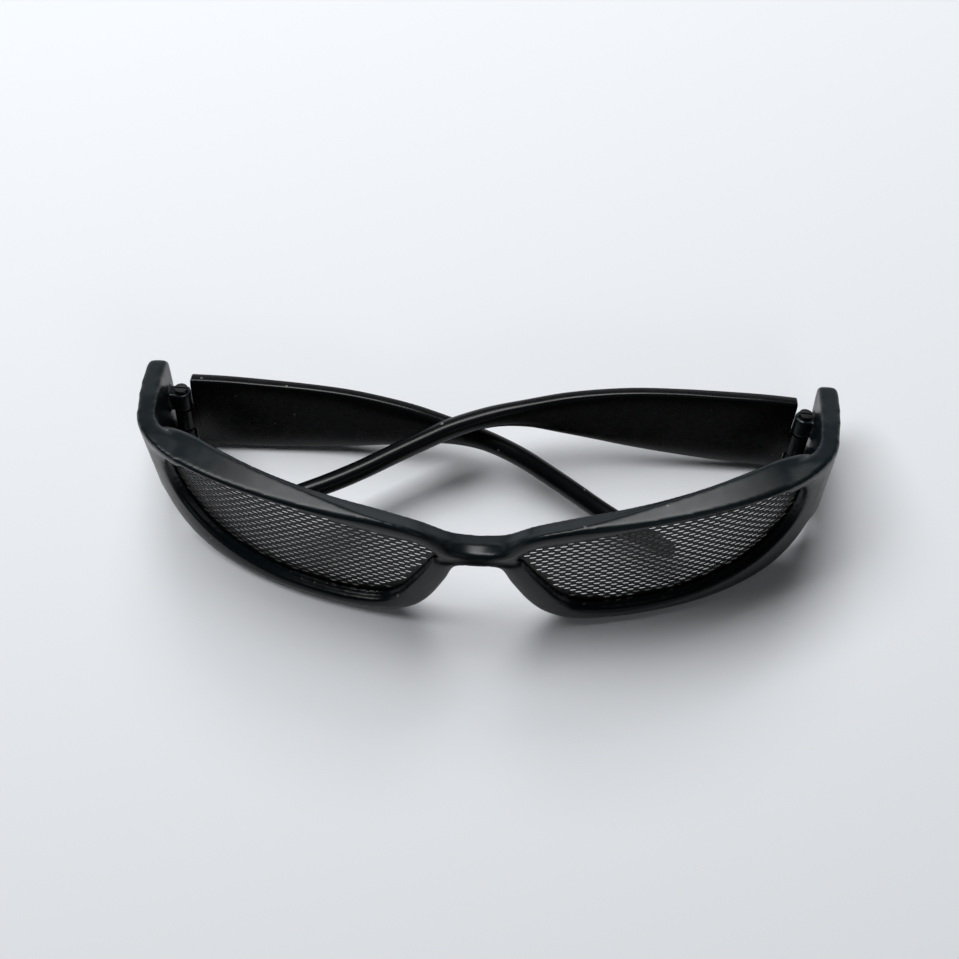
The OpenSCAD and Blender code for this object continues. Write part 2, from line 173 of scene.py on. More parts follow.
def rim_section(k):
    """A section of the rim: ledge, lip, front face, top land, rear and mesh seat."""
    v = rim_row(k)
    at_middle = k >= ROWS - 1 or k == 0
    ox, oz = (0.0 if at_middle else max(v[3], OFF_MIDDLE)), v[4]
    nx, nz = (0.0 if at_middle else v[9]), v[10]
    length = math.hypot(ox - v[0], oz - v[1])
    ux, uz = (ox - v[0]) / length, (oz - v[1]) / length
    drop = min(v[8], length - REBATE - REAR_LAND)

    def at(along, depth):
        return wrap_point(max(v[0] + along * ux, 0.0), v[1] + along * uz, depth)

    def back(inward, depth):
        return wrap_point(max(ox - inward * nx, 0.0), oz - inward * nz, depth)

    seat = seat_at(v[0])
    room = seat - v[2] - LIP_R
    section = [at(0, seat), at(0, seat - min(LEDGE_LOW, LEDGE_LOW_SHARE * room)),
               at(LEDGE, seat - min(LEDGE_TOP, LEDGE_TOP_SHARE * room))]
    section += [at(LEDGE + LIP_R * (1 - math.cos(a)), v[2] + LIP_R * (1 - math.sin(a))) for a in quarter]
    start, end = section[-1], back(EDGE_R, v[5])
    normal = wrap_point(ox, oz, 1) - wrap_point(ox, oz, 0)
    section += [start + (end - start) * t - normal * CROWN * 4 * t * (1 - t) for t in (0.25, 0.5, 0.75)]
    section += [back(EDGE_R * (1 - math.sin(a)), v[5] + EDGE_R * (1 - math.cos(a))) for a in quarter]
    section += [back(0, v[5] + v[6])]
    section += [back(drop + EDGE_R * (1 - math.cos(a)), v[5] + v[7] - EDGE_R * (1 - math.sin(a)))
                for a in quarter]
    section += [at(REBATE, REAR), at(REBATE, seat_at(v[0] + REBATE * ux))]
    return section


# The two halves meet at the middle plane, where the loft has no faces
row_steps = 8
MERGE = 1e-6
rings = [rim_section(j / row_steps) for j in range(ROWS * row_steps)]
ring_n = len(rings[0])
half = np.array([p for ring in rings for p in ring])
half_faces = []
for k in range(len(rings)):
    following = (k + 1) % len(rings)
    for j in range(ring_n):
        beside = (j + 1) % ring_n
        corners = (k * ring_n + j, following * ring_n + j, following * ring_n + beside, k * ring_n + beside)
        if not all(half[i][0] < MERGE for i in corners):
            half_faces.append(corners)
other_faces = [tuple(len(half) + i for i in reversed(face)) for face in half_faces]
both_halves = np.concatenate([half, half * [-1, 1, 1]])
front = new_piece("front_moulding", stand(both_halves), half_faces + other_faces)
turn_faces_out(front, MERGE)

# The endpieces: a side bar behind each lens, with a top bar that leads into the brow
END_BACK = 44
END_T = 4.2
FLARE = 1.2
END_ROUND = 2.8
END_LOW, END_HIGH = 5, 44
BROW_END_LOW = 40.6
# Where each bar starts on the wrap curve, in degrees, and how far its outside lies within the rim's
SIDE_FROM, BROW_FROM = 74, 58
SKIN_IN = 0.02
FOOT_SINK = 0.3
FOOT_Y = END_BACK - 4.6
FOOT_Z = (FOOT_Y * math.sin(LEAN) - LIFT - FOOT_SINK) / math.cos(LEAN)
side_profile = [(9, 43.8), (20, 43.3), (31, 41.0), (38.5, 39.0), (END_BACK - 0.9, 37.8), (END_BACK, 36),
                (END_BACK - 3.6, 19.2), (FOOT_Y, FOOT_Z), (FOOT_Y - 5, FOOT_Z + 0.6), (27, 16.2), (21, 18.4),
                (9, 30)]
PROFILE_IN, PROFILE_OUT = 40, 90


def arc_point(angle, depth):
    """A point of the wrap curve in the plan, at an angle in degrees, moved back by depth."""
    a = math.radians(angle)
    n = math.hypot(WRAP * math.sin(a), HALF_W * math.cos(a))
    return (HALF_W * math.sin(a) - depth * WRAP * math.sin(a) / n,
            WRAP * (1 - math.cos(a)) + depth * HALF_W * math.cos(a) / n)


def flare_at(t):
    """How far the endpiece flares out, from 0 at the rim to FLARE at its rear."""
    return FLARE * t * (2 - t)


def side_point(t, depth):
    """A point of the endpiece's side in the plan."""
    return (HALF_W + flare_at(t) - depth, WRAP + t * (END_BACK - WRAP))


def side_plan(start):
    """The endpiece in the plan, from an angle of the wrap curve to the round rear corner."""
    outer = [arc_point(a, SKIN_IN) for a in range(start, 91, 2)]
    inner = [arc_point(a, END_T) for a in range(90, start - 1, -2)]
    steps = np.arange(0.1, 0.81, 0.1)
    cx, cy = HALF_W + FLARE - END_ROUND, END_BACK - END_ROUND
    corner = [(cx + END_ROUND * math.cos(math.radians(a)), cy + END_ROUND * math.sin(math.radians(a)))
              for a in range(0, 91, 10)]
    return (outer + [side_point(t, 0) for t in steps] + corner + [side_point(1, END_T)]
            + [side_point(t, END_T) for t in steps[::-1]] + inner)


def upright(p, level):
    """A plan point at a height, in row-frame metres."""
    return stand([(p[0], p[1], level)])[0]


def sideways(p, level):
    """A point of the side view at a distance across, in row-frame metres."""
    return stand([(level, p[0], p[1])])[0]


def prism(name, outline, low, high, to_space):
    """A solid between two levels over a closed outline."""
    n = len(outline)
    points = [to_space(p, low) for p in outline] + [to_space(p, high) for p in outline]
    faces = [tuple(range(n)), tuple(range(2 * n - 1, n - 1, -1))]
    faces += [(i, (i + 1) % n, n + (i + 1) % n, n + i) for i in range(n)]
    obj = new_piece(name, points, faces)
    turn_faces_out(obj)
    return obj


def apply_modifiers(obj):
    """Turns an object with modifiers into a plain mesh."""
    depsgraph = bpy.context.evaluated_depsgraph_get()
    mesh = bpy.data.meshes.new_from_object(obj.evaluated_get(depsgraph))
    obj.modifiers.clear()
    obj.data = mesh


def boolean(obj, other, operation):
    """Joins, cuts or trims obj with other, which is used up."""
    cut = obj.modifiers.new("cut", "BOOLEAN")
    cut.operation = operation
    cut.object = other
    cut.solver = "MANIFOLD"
    apply_modifiers(obj)
    bpy.data.objects.remove(other)


endpiece = prism("endpiece", side_plan(SIDE_FROM), END_LOW, END_HIGH, upright)
boolean(endpiece, prism("brow_end", side_plan(BROW_FROM), BROW_END_LOW, END_HIGH, upright), "UNION")
boolean(endpiece, prism("profile", side_profile, PROFILE_IN, PROFILE_OUT, sideways), "INTERSECT")
other_endpiece = endpiece.copy()
other_endpiece.data = endpiece.data.copy()
other_endpiece.data.transform(Matrix.Diagonal((-1, 1, 1, 1)))
other_endpiece.data.flip_normals()
scene.collection.objects.link(other_endpiece)

# The hinges: two knuckles on the front and one on each temple, on a raked and slightly tilted axis
RAKE = math.radians(12)
HINGE_IN = 7
HINGE_GAP = 0.45
BARREL_R = 2.15
BARREL_STEPS = 24
HINGE_Y = END_BACK - HINGE_IN
HINGE_T = (HINGE_Y - WRAP) / (END_BACK - WRAP)
HINGE_Z = 25.0
HINGE = np.array([HALF_W + flare_at(HINGE_T) - END_T - BARREL_R - HINGE_GAP, HINGE_Y, HINGE_Z])
TILT = {"right": math.radians(4.3), "left": math.radians(-1.8)}
KNUCKLE_H = 5.4
LUG_H = 4.6
LUG_W = 3.6
LUG_SINK = 1
PLAY = 0.3


def from_hinge(points, side):
    """Hinge millimetres, with the temple folded towards -x, to row-frame metres."""
    t = TILT[side]
    p = np.asarray(points, float)
    x = p[:, 0] * math.cos(t) + p[:, 2] * math.sin(t)
    z = -p[:, 0] * math.sin(t) + p[:, 2] * math.cos(t)
    y = p[:, 1] * math.cos(RAKE) + z * math.sin(RAKE)
    z = z * math.cos(RAKE) - p[:, 1] * math.sin(RAKE)
    placed = stand(np.stack([x, y, z], 1) + HINGE)
    return placed if side == "right" else placed * [-1, 1, 1]


def along_axis(side):
    """Places a prism's points on a hinge, with its levels along the axis."""
    return lambda p, level: from_hinge([(p[0], p[1], level)], side)[0]


def barrel(side, low, high, reach, width):
    """A knuckle with an arm that runs from the axis to reach."""
    turn = math.copysign(1, reach)
    half_angle = math.asin(min(1, width / 2 / BARREL_R))
    outline = [(reach, turn * width / 2), (reach, -turn * width / 2)]
    for k in range(BARREL_STEPS + 1):
        a = -half_angle - (2 * math.pi - 2 * half_angle) * k / BARREL_STEPS
        outline.append((turn * BARREL_R * math.cos(a), turn * BARREL_R * math.sin(a)))
    return prism("knuckle", outline, low, high, along_axis(side))


joined = [endpiece, other_endpiece]
for side in ("right", "left"):
    for sign in (-1, 1):
        low = sign * (KNUCKLE_H / 2 + PLAY + LUG_H / 2) - LUG_H / 2
        joined.append(barrel(side, low, low + LUG_H, BARREL_R + HINGE_GAP + LUG_SINK, LUG_W))
for piece in joined:
    boolean(front, piece, "UNION")

# The joined pieces melt into one skin, in metres. It is softened a little everywhere, more along
# the brow, more again where the brow meets the endpieces, and most on the rims' outer ends.
FRONT_GRAIN = 0.00037
SOFT_ALL, SOFT_BROW, SOFT_CORNER, SOFT_SIDE = 0.04, 0.13, 0.2, 0.8
SOFT_PASSES = 54
BROW_Z, CORNER_X, SIDE_X, SIDE_Y = 0.036, 0.054, 0.068, 0.031
BROW_FADE, CORNER_FADE, SIDE_FADE = 0.003, 0.010, 0.003
SIDE_FACING = 0.3


def ramp(value, start, length):
    """Rises from 0 at start to 1 at start plus length."""
    return min(max((value - start) / length, 0), 1)


melt = front.modifiers.new("melt", "REMESH")
melt.mode = "VOXEL"
melt.voxel_size = FRONT_GRAIN
apply_modifiers(front)
softness = front.vertex_groups.new(name="softness")
for v in front.data.vertices:
    worn_y = (v.co.y - SHIFT / 1000) * math.cos(LEAN) - v.co.z * math.sin(LEAN)
    worn_z = (v.co.y - SHIFT / 1000) * math.sin(LEAN) + v.co.z * math.cos(LEAN)
    high = ramp(worn_z, BROW_Z, BROW_FADE)
    out = ramp(abs(v.co.x), CORNER_X, CORNER_FADE)
    side = ramp(abs(v.co.x), SIDE_X, SIDE_FADE) * ramp(-worn_y, -SIDE_Y, SIDE_FADE)
    side *= ramp(v.normal.x * math.copysign(1, v.co.x), 0, SIDE_FACING)
    weight = SOFT_ALL + SOFT_BROW * high + SOFT_CORNER * out * high + SOFT_SIDE * side
    softness.add([v.index], min(1, weight), "REPLACE")
soften = front.modifiers.new("soften", "SMOOTH")
soften.factor = 0.5
soften.iterations = SOFT_PASSES
soften.vertex_group = "softness"
apply_modifiers(front)
front.vertex_groups.clear()

# Screw bores run through the knuckles, and the table trims the lower rims and the endpieces' feet
BORE_R = 0.81
BORE_SIDES = 24
BORE_REACH = 12
TABLE_X, TABLE_Y, TABLE_DEEP = 90, 60, 20
SHARP = math.radians(38)


def screw_bore(side):
    """A bar along a hinge's axis, as wide as the screw's bore."""
    turns = np.linspace(0, 2 * math.pi, BORE_SIDES, endpoint=False)
    outline = [(BORE_R * math.cos(a), BORE_R * math.sin(a)) for a in turns]
    return prism("bore", outline, -BORE_REACH, BORE_REACH, along_axis(side))


def shade(obj):
    """Smooth shading, with real edges kept sharp."""
    obj.data.shade_smooth()
    obj.data.set_sharp_from_angle(angle=SHARP)


for side in ("right", "left"):
    boolean(front, screw_bore(side), "DIFFERENCE")
table_top = [(-TABLE_X, -TABLE_Y), (TABLE_X, -TABLE_Y), (TABLE_X, TABLE_Y), (-TABLE_X, TABLE_Y)]
table = prism("table", table_top, -TABLE_DEEP, 0, lambda p, level: np.array([p[0], p[1], level]) / 1000)
boolean(front, table, "DIFFERENCE")
shade(front)

# The finish of every piece: satin, with fine grain, uneven gloss and a little pale dust in specks.
# Noise scales count per metre.
SHINE = 0.22
TINT_SCALE = 90
SPECK_SCALE = 260
DUSTY_SCALE = 140
GLOSS_SCALE = 420
GLOSS_LESS, GLOSS_MORE = 0.03, 0.02
GRAIN_DEPTH = 0.0002
DUST_COLOUR = (0.42, 0.42, 0.4)
# Sockets of a colour mix
MIX_FACTOR, MIX_A, MIX_B, MIX_OUT = 0, 6, 7, 2


def satin(name, colour, tint, metallic, roughness, grain, bump, dust):
    """A satin surface. The colour drifts to the tint, and dust is the strength of its specks."""
    made = bpy.data.materials.new(name)
    made.use_nodes = True
    tree = made.node_tree
    shader = tree.nodes["Principled BSDF"]
    shader.inputs["Metallic"].default_value = metallic
    shader.inputs["Specular IOR Level"].default_value = SHINE
    place = tree.nodes.new("ShaderNodeTexCoord").outputs["Object"]

    def noise(scale, detail):
        n = tree.nodes.new("ShaderNodeTexNoise")
        n.inputs["Scale"].default_value = scale
        n.inputs["Detail"].default_value = detail
        tree.links.new(place, n.inputs["Vector"])
        return n.outputs["Fac"]

    def spread(source, low, high, start=0.35, end=0.65):
        m = tree.nodes.new("ShaderNodeMapRange")
        m.inputs["From Min"].default_value, m.inputs["From Max"].default_value = start, end
        m.inputs["To Min"].default_value, m.inputs["To Max"].default_value = low, high
        tree.links.new(source, m.inputs["Value"])
        return m.outputs["Result"]

    def colour_mix(factor, over):
        m = tree.nodes.new("ShaderNodeMix")
        m.data_type = "RGBA"
        m.inputs[MIX_B].default_value = (*over, 1)
        tree.links.new(factor, m.inputs[MIX_FACTOR])
        return m

    tinted = colour_mix(spread(noise(TINT_SCALE, 3), 0, 1), tint)
    tinted.inputs[MIX_A].default_value = (*colour, 1)
    specks = tree.nodes.new("ShaderNodeTexVoronoi")
    specks.inputs["Scale"].default_value = SPECK_SCALE
    tree.links.new(place, specks.inputs["Vector"])
    rare = tree.nodes.new("ShaderNodeMath")
    rare.operation = "MULTIPLY"
    tree.links.new(spread(specks.outputs["Distance"], dust, 0, 0.04, 0.11), rare.inputs[0])
    tree.links.new(spread(noise(DUSTY_SCALE, 1), 0, 1, 0.55, 0.62), rare.inputs[1])
    dusty = colour_mix(rare.outputs[0], DUST_COLOUR)
    tree.links.new(tinted.outputs[MIX_OUT], dusty.inputs[MIX_A])
    tree.links.new(dusty.outputs[MIX_OUT], shader.inputs["Base Color"])
    gloss = spread(noise(GLOSS_SCALE, 4), roughness - GLOSS_MORE, roughness + GLOSS_LESS)
    tree.links.new(gloss, shader.inputs["Roughness"])
    rough = tree.nodes.new("ShaderNodeBump")
    rough.inputs["Strength"].default_value = bump
    rough.inputs["Distance"].default_value = GRAIN_DEPTH
    tree.links.new(noise(grain, 2), rough.inputs["Height"])
    tree.links.new(rough.outputs["Normal"], shader.inputs["Normal"])
    return made


def dress(obj, finish):
    """Gives a piece its one material."""
    obj.data.materials.clear()
    obj.data.materials.append(finish)


# The front's plastic is black with a trace of blue-green
front_plastic = satin("satin_front_plastic", (0.002, 0.0038, 0.005), (0.003, 0.0065, 0.0085),
                      metallic=0, roughness=0.3, grain=3000, bump=0.04, dust=0.4)
dress(front, front_plastic)
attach(front, "front")
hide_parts("front_frame")

# The temples are moulded arms of blacker satin plastic, each in one piece with its hinge knuckle.
# A wide flat blade narrows at the knee to a slender rod, which bends down and in. Each is a loft,
# joined to its knuckle, which turns on the hinge screw between the front's two.
# Each row: distance from the hinge, offset back, offset up, half height, thickness, squareness.
BLADE_T = 3.0
ROD_T = 4.2
temple_rows = np.array([
    [2.8, 0.4, 1.95, 9.8, BLADE_T, 7],
    [10, 0.4, 1.95, 9.9, BLADE_T, 7],
    [19, 0.4, 1.95, 9.6, BLADE_T, 7],
    [28, 0.4, 2.05, 9.1, BLADE_T, 6],
    [37, 0.2, 2.3, 8.2, BLADE_T, 6],
    [45, -0.2, 2.5, 6.9, BLADE_T + 0.2, 5],
    [53, -0.9, 2.6, 5.3, BLADE_T + 0.5, 4],
    [61, -1.9, 2.4, 3.4, ROD_T - 0.5, 3],
    [69, -3.4, 1.5, 2.35, ROD_T - 0.1, 2.4],
    [77, -5.4, -1.0, 2.2, ROD_T, 2.2],
    [84, -7.5, -4.4, 2.2, ROD_T, 2.2],
    [90, -9.7, -7.2, 2.2, ROD_T, 2.2],
    [96, -12.2, -9.8, 2.2, ROD_T, 2.2],
    [103, -15.3, -12.0, 2.2, ROD_T, 2.2],
    [111, -19.0, -13.4, 2.0, ROD_T - 0.4, 2.2]])
LAST_ROW = len(temple_rows) - 1
TEMPLE_STEPS = 6
TEMPLE_SIDES = 48
LOOK_AHEAD = 0.3
# Extra rings that round the ends off: size of the end row, and distance past it
BLADE_END = (0.97, -0.25)
TIP_ENDS = ((0.95, 0.55), (0.8, 1.15), (0.5, 1.6), (0.2, 1.8))
ARM_REACH = 3.4
ARM_W = 2.4


def temple_row(k):
    """The temple's row at a fractional number."""
    i = math.floor(k)
    near = [temple_rows[max(0, min(LAST_ROW, i + j))] for j in (-1, 0, 1, 2)]
    return smooth_between(*near, k - i)


def temple_path(k):
    """The middle of the temple at a fractional row number."""
    v = temple_row(max(0, min(LAST_ROW, k)))
    return np.array([-v[0], v[1], v[2]])


def temple_ring(k, size=1.0, past=0.0):
    """A rounded rectangle across the temple's path."""
    v = temple_row(k)
    along = temple_path(k + LOOK_AHEAD) - temple_path(k - LOOK_AHEAD)
    along /= np.linalg.norm(along)
    across = np.cross([0, 0, 1], along)
    across /= np.linalg.norm(across)
    up = np.cross(along, across)
    middle = temple_path(k) + past * along
    ring = []
    for i in range(TEMPLE_SIDES):
        a = 2 * math.pi * (i + 0.5) / TEMPLE_SIDES
        wide = math.copysign(abs(math.cos(a)) ** (2 / v[5]), math.cos(a))
        high = math.copysign(abs(math.sin(a)) ** (2 / v[5]), math.sin(a))
        ring.append(middle + across * size * v[4] / 2 * wide + up * size * v[3] * high)
    return ring


def make_temple(side):
    """One temple, from the blade's end at the hinge to the rod's tip."""
    rings = [temple_ring(0, *BLADE_END)]
    rings += [temple_ring(j / TEMPLE_STEPS) for j in range(LAST_ROW * TEMPLE_STEPS + 1)]
    rings += [temple_ring(LAST_ROW, *tip) for tip in TIP_ENDS]
    n = TEMPLE_SIDES
    faces = [(k * n + i, k * n + (i + 1) % n, (k + 1) * n + (i + 1) % n, (k + 1) * n + i)
             for k in range(len(rings) - 1) for i in range(n)]
    faces += [tuple(range(n)), tuple((len(rings) - 1) * n + i for i in range(n - 1, -1, -1))]
    obj = new_piece(side + "_temple_arm", from_hinge([p for ring in rings for p in ring], side), faces)
    turn_faces_out(obj)
    boolean(obj, barrel(side, -KNUCKLE_H / 2, KNUCKLE_H / 2, -ARM_REACH, ARM_W), "UNION")
    boolean(obj, screw_bore(side), "DIFFERENCE")
    shade(obj)
    return obj


temple_plastic = satin("satin_temple_plastic", (0.0014, 0.0018, 0.002), (0.002, 0.0026, 0.003),
                       metallic=0, roughness=0.26, grain=3000, bump=0.03, dust=0.4)
temples = {side: make_temple(side) for side in ("right", "left")}
for side in ("right", "left"):
    dress(temples[side], temple_plastic)
    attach(temples[side], side + "_temple")
    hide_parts(side + "_temple")

# The mesh panels are thin dark coated steel sheet, punched with staggered oblong holes, bent to the
# wrap curve and set into the rebate from the rear. Geometry Nodes punches the flat sheet and bends
# it, and the result is kept as a plain mesh.
SEAT_GAP = 0.1
MESH_T = 0.22
MESH_GAP = 0.15
CURVE_FROM, CURVE_TO, CURVE_POINTS = 2, 74, 73
STRIP_FIRST, STRIP_W = 0.0008, 0.0013
OUTLINE_STEPS = 4


def sheet_back(x):
    """Depth of the sheet's rear face."""
    return seat_at(x) + SEAT_GAP + MESH_T


curve_points = np.array([arc_point(a, sheet_back(HALF_W * math.sin(math.radians(a))))
                         for a in np.linspace(CURVE_FROM, CURVE_TO, CURVE_POINTS)])
curve_run = np.concatenate([[0], np.cumsum(np.linalg.norm(np.diff(curve_points, axis=0), axis=1))])


def flat_outline():
    """The panel's outline on the flattened sheet, in metres along the curve and up."""
    points = []
    for j in range(ROWS * OUTLINE_STEPS):
        v = rim_row(j / OUTLINE_STEPS)
        ox = max(v[3], 0)
        w = (REBATE - MESH_GAP) / math.hypot(ox - v[0], v[4] - v[1])
        x = v[0] + w * (ox - v[0])
        p = wrap_point(x, v[1] + w * (v[4] - v[1]), sheet_back(x))
        along = float(np.interp(p[0], curve_points[:, 0], curve_run))
        points.append((along / 1000, p[2] / 1000, 0))
    return points


def flat_blank():
    """The flat sheet as a solid, cut into narrow strips across so that it bends smoothly."""
    work = bmesh.new()
    face = work.faces.new([work.verts.new(p) for p in flat_outline()])
    grown = bmesh.ops.extrude_face_region(work, geom=[face])
    moved = [v for v in grown["geom"] if isinstance(v, bmesh.types.BMVert)]
    bmesh.ops.translate(work, verts=moved, vec=(0, 0, MESH_T / 1000))
    low, high = min(v.co.x for v in work.verts), max(v.co.x for v in work.verts)
    for u in np.arange(low + STRIP_FIRST, high, STRIP_W):
        geom = list(work.verts) + list(work.edges) + list(work.faces)
        bmesh.ops.bisect_plane(work, geom=geom, plane_co=(u, 0, 0), plane_no=(1, 0, 0))
    bmesh.ops.recalc_face_normals(work, faces=work.faces)
    mesh = bpy.data.meshes.new("blank")
    work.to_mesh(mesh)
    work.free()
    obj = bpy.data.objects.new("blank", mesh)
    scene.collection.objects.link(obj)
    return obj


def line_object(name, points, closed):
    """An object of edges alone, which the nodes read."""
    n = len(points)
    edges = [(i, (i + 1) % n) for i in range(n if closed else n - 1)]
    mesh = bpy.data.meshes.new(name)
    mesh.from_pydata([tuple(p) for p in points], edges, [])
    obj = bpy.data.objects.new(name, mesh)
    scene.collection.objects.link(obj)
    return obj


# The punch is an eight-sided bar, which reaches this far through the sheet
PUNCH_SIDES = 8
PUNCH_REACH = 0.01


def punched_group():
    """Nodes that punch staggered holes through the blank, bend it and give it its material."""
    tree = bpy.data.node_groups.new("punched_sheet", "GeometryNodeTree")
    kinds = {"Sheet": "Geometry", "Border": "Object", "Curve": "Object", "Pitch": "Float",
             "Row step": "Float", "Hole length": "Float", "Hole height": "Float",
             "Plain margin": "Float", "Columns": "Int", "Rows": "Int", "Material": "Material"}
    sockets = {name: tree.interface.new_socket(name=name, in_out="INPUT", socket_type="NodeSocket" + kind)
               for name, kind in kinds.items()}
    tree.interface.new_socket(name="Geometry", in_out="OUTPUT", socket_type="NodeSocketGeometry")
    given = tree.nodes.new("NodeGroupInput").outputs

    def node(kind, **settings):
        made = tree.nodes.new(kind)
        for key, value in settings.items():
            setattr(made, key, value)
        return made

    def link(source, target):
        tree.links.new(source, target)

    def maths(operation, a, b):
        made = node("ShaderNodeMath", operation=operation)
        for socket, value in zip(made.inputs, (a, b)):
            if isinstance(value, (int, float)):
                socket.default_value = value
            else:
                link(value, socket)
        return made.outputs[0]

    # One point per hole: odd rows are shifted by half a pitch
    points = node("GeometryNodeMeshLine")
    link(maths("MULTIPLY", given["Columns"], given["Rows"]), points.inputs["Count"])
    index = node("GeometryNodeInputIndex").outputs[0]
    row = maths("FLOOR", maths("DIVIDE", index, given["Columns"]), 0)
    column = maths("SUBTRACT", index, maths("MULTIPLY", row, given["Columns"]))
    shift = maths("MULTIPLY", maths("MODULO", row, 2), 0.5)
    spot = node("ShaderNodeCombineXYZ")
    link(maths("MULTIPLY", maths("ADD", column, shift), given["Pitch"]), spot.inputs["X"])
    link(maths("MULTIPLY", row, given["Row step"]), spot.inputs["Y"])
    placed = node("GeometryNodeSetPosition")
    link(points.outputs["Mesh"], placed.inputs["Geometry"])
    link(spot.outputs[0], placed.inputs["Position"])

    # Holes stay inside the sheet and clear of its edge
    ray = node("GeometryNodeRaycast")
    link(given["Sheet"], ray.inputs["Target Geometry"])
    above = node("ShaderNodeVectorMath", operation="ADD")
    link(node("GeometryNodeInputPosition").outputs[0], above.inputs[0])
    above.inputs[1].default_value = (0, 0, PUNCH_REACH)
    link(above.outputs[0], ray.inputs["Source Position"])
    border = node("GeometryNodeObjectInfo")
    link(given["Border"], border.inputs["Object"])
    near = node("GeometryNodeProximity", target_element="EDGES")
    link(border.outputs["Geometry"], near.inputs[0])
    tight = node("FunctionNodeCompare", data_type="FLOAT", operation="LESS_THAN")
    link(near.outputs["Distance"], tight.inputs[0])
    link(given["Plain margin"], tight.inputs[1])
    missed = node("FunctionNodeBooleanMath", operation="NOT")
    link(ray.outputs["Is Hit"], missed.inputs[0])
    drop = node("FunctionNodeBooleanMath", operation="OR")
    link(tight.outputs["Result"], drop.inputs[0])
    link(missed.outputs[0], drop.inputs[1])
    kept = node("GeometryNodeDeleteGeometry", domain="POINT")
    link(placed.outputs[0], kept.inputs["Geometry"])
    link(drop.outputs[0], kept.inputs["Selection"])

    # The punch is turned so that its long sides and its ends are flat
    punch = node("GeometryNodeMeshCylinder")
    punch.inputs["Vertices"].default_value = PUNCH_SIDES
    punch.inputs["Radius"].default_value = 0.5
    punch.inputs["Depth"].default_value = PUNCH_REACH
    size = node("ShaderNodeCombineXYZ")
    link(given["Hole length"], size.inputs["X"])
    link(given["Hole height"], size.inputs["Y"])
    size.inputs["Z"].default_value = 1
    turned = node("GeometryNodeTransform")
    turned.inputs["Rotation"].default_value = (0, 0, math.pi / PUNCH_SIDES)
    link(punch.outputs["Mesh"], turned.inputs["Geometry"])
    stamped = node("GeometryNodeInstanceOnPoints")
    link(kept.outputs[0], stamped.inputs["Points"])
    link(turned.outputs[0], stamped.inputs["Instance"])
    link(size.outputs[0], stamped.inputs["Scale"])
    solid = node("GeometryNodeRealizeInstances")
    link(stamped.outputs[0], solid.inputs[0])
    cut = node("GeometryNodeMeshBoolean", operation="DIFFERENCE", solver="MANIFOLD")
    link(given["Sheet"], cut.inputs["Mesh 1"])
    link(solid.outputs[0], cut.inputs["Mesh 2"])

    # Bend: x on the sheet is a length along the curve, y is height and z goes forward of the curve
    curve = node("GeometryNodeObjectInfo")
    link(given["Curve"], curve.inputs["Object"])
    strip = node("GeometryNodeMeshToCurve")
    link(curve.outputs["Geometry"], strip.inputs[0])
    here = node("ShaderNodeSeparateXYZ")
    link(node("GeometryNodeInputPosition").outputs[0], here.inputs[0])
    sample = node("GeometryNodeSampleCurve", mode="LENGTH")
    link(strip.outputs[0], sample.inputs["Curves"])
    link(here.outputs["X"], sample.inputs["Length"])
    ahead = node("ShaderNodeVectorMath", operation="CROSS_PRODUCT")
    link(sample.outputs["Tangent"], ahead.inputs[0])
    ahead.inputs[1].default_value = (0, 0, 1)
    forward = node("ShaderNodeVectorMath", operation="SCALE")
    link(ahead.outputs[0], forward.inputs[0])
    link(here.outputs["Z"], forward.inputs["Scale"])
    base = node("ShaderNodeVectorMath", operation="ADD")
    link(sample.outputs["Position"], base.inputs[0])
    link(forward.outputs[0], base.inputs[1])
    rise = node("ShaderNodeCombineXYZ")
    link(here.outputs["Y"], rise.inputs["Z"])
    target = node("ShaderNodeVectorMath", operation="ADD")
    link(base.outputs[0], target.inputs[0])
    link(rise.outputs[0], target.inputs[1])
    bent = node("GeometryNodeSetPosition")
    link(cut.outputs["Mesh"], bent.inputs["Geometry"])
    link(target.outputs[0], bent.inputs["Position"])
    real = node("GeometryNodeRealizeInstances")
    link(bent.outputs[0], real.inputs[0])
    finish = node("GeometryNodeSetMaterial")
    link(real.outputs[0], finish.inputs["Geometry"])
    link(given["Material"], finish.inputs["Material"])
    link(finish.outputs[0], node("NodeGroupOutput").inputs[0])
    return tree, sockets


coated_steel = satin("coated_mesh_steel", (0.005, 0.0055, 0.006), (0.009, 0.0095, 0.01),
                     metallic=0.1, roughness=0.42, grain=3200, bump=0.1, dust=0.5)
blank = flat_blank()
border = line_object("border", flat_outline(), True)
curve = line_object("curve", [(p[0] / 1000, p[1] / 1000, 0) for p in curve_points], False)
group, sockets = punched_group()
punched = blank.modifiers.new("punched", "NODES")
punched.node_group = group
given_values = {"Border": border, "Curve": curve, "Pitch": 0.0026, "Row step": 0.00112,
                "Hole length": 0.0022, "Hole height": 0.00072, "Plain margin": 0.0019,
                "Columns": 34, "Rows": 42, "Material": coated_steel}
for name, value in given_values.items():
    punched[sockets[name].identifier] = value
apply_modifiers(blank)
flat_points = np.array([v.co[:] for v in blank.data.vertices]) * 1000
for side, sign in (("right", 1), ("left", -1)):
    mesh = blank.data.copy()
    mesh.vertices.foreach_set("co", (stand(flat_points) * [sign, 1, 1]).ravel())
    if sign < 0:
        mesh.flip_normals()
    mesh.update()
    mesh.shade_flat()
    panel = bpy.data.objects.new(side + "_punched_panel", mesh)
    scene.collection.objects.link(panel)
    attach(panel, "front")
    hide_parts(side + "_mesh")
for helper in (blank, border, curve):
    bpy.data.objects.remove(helper)

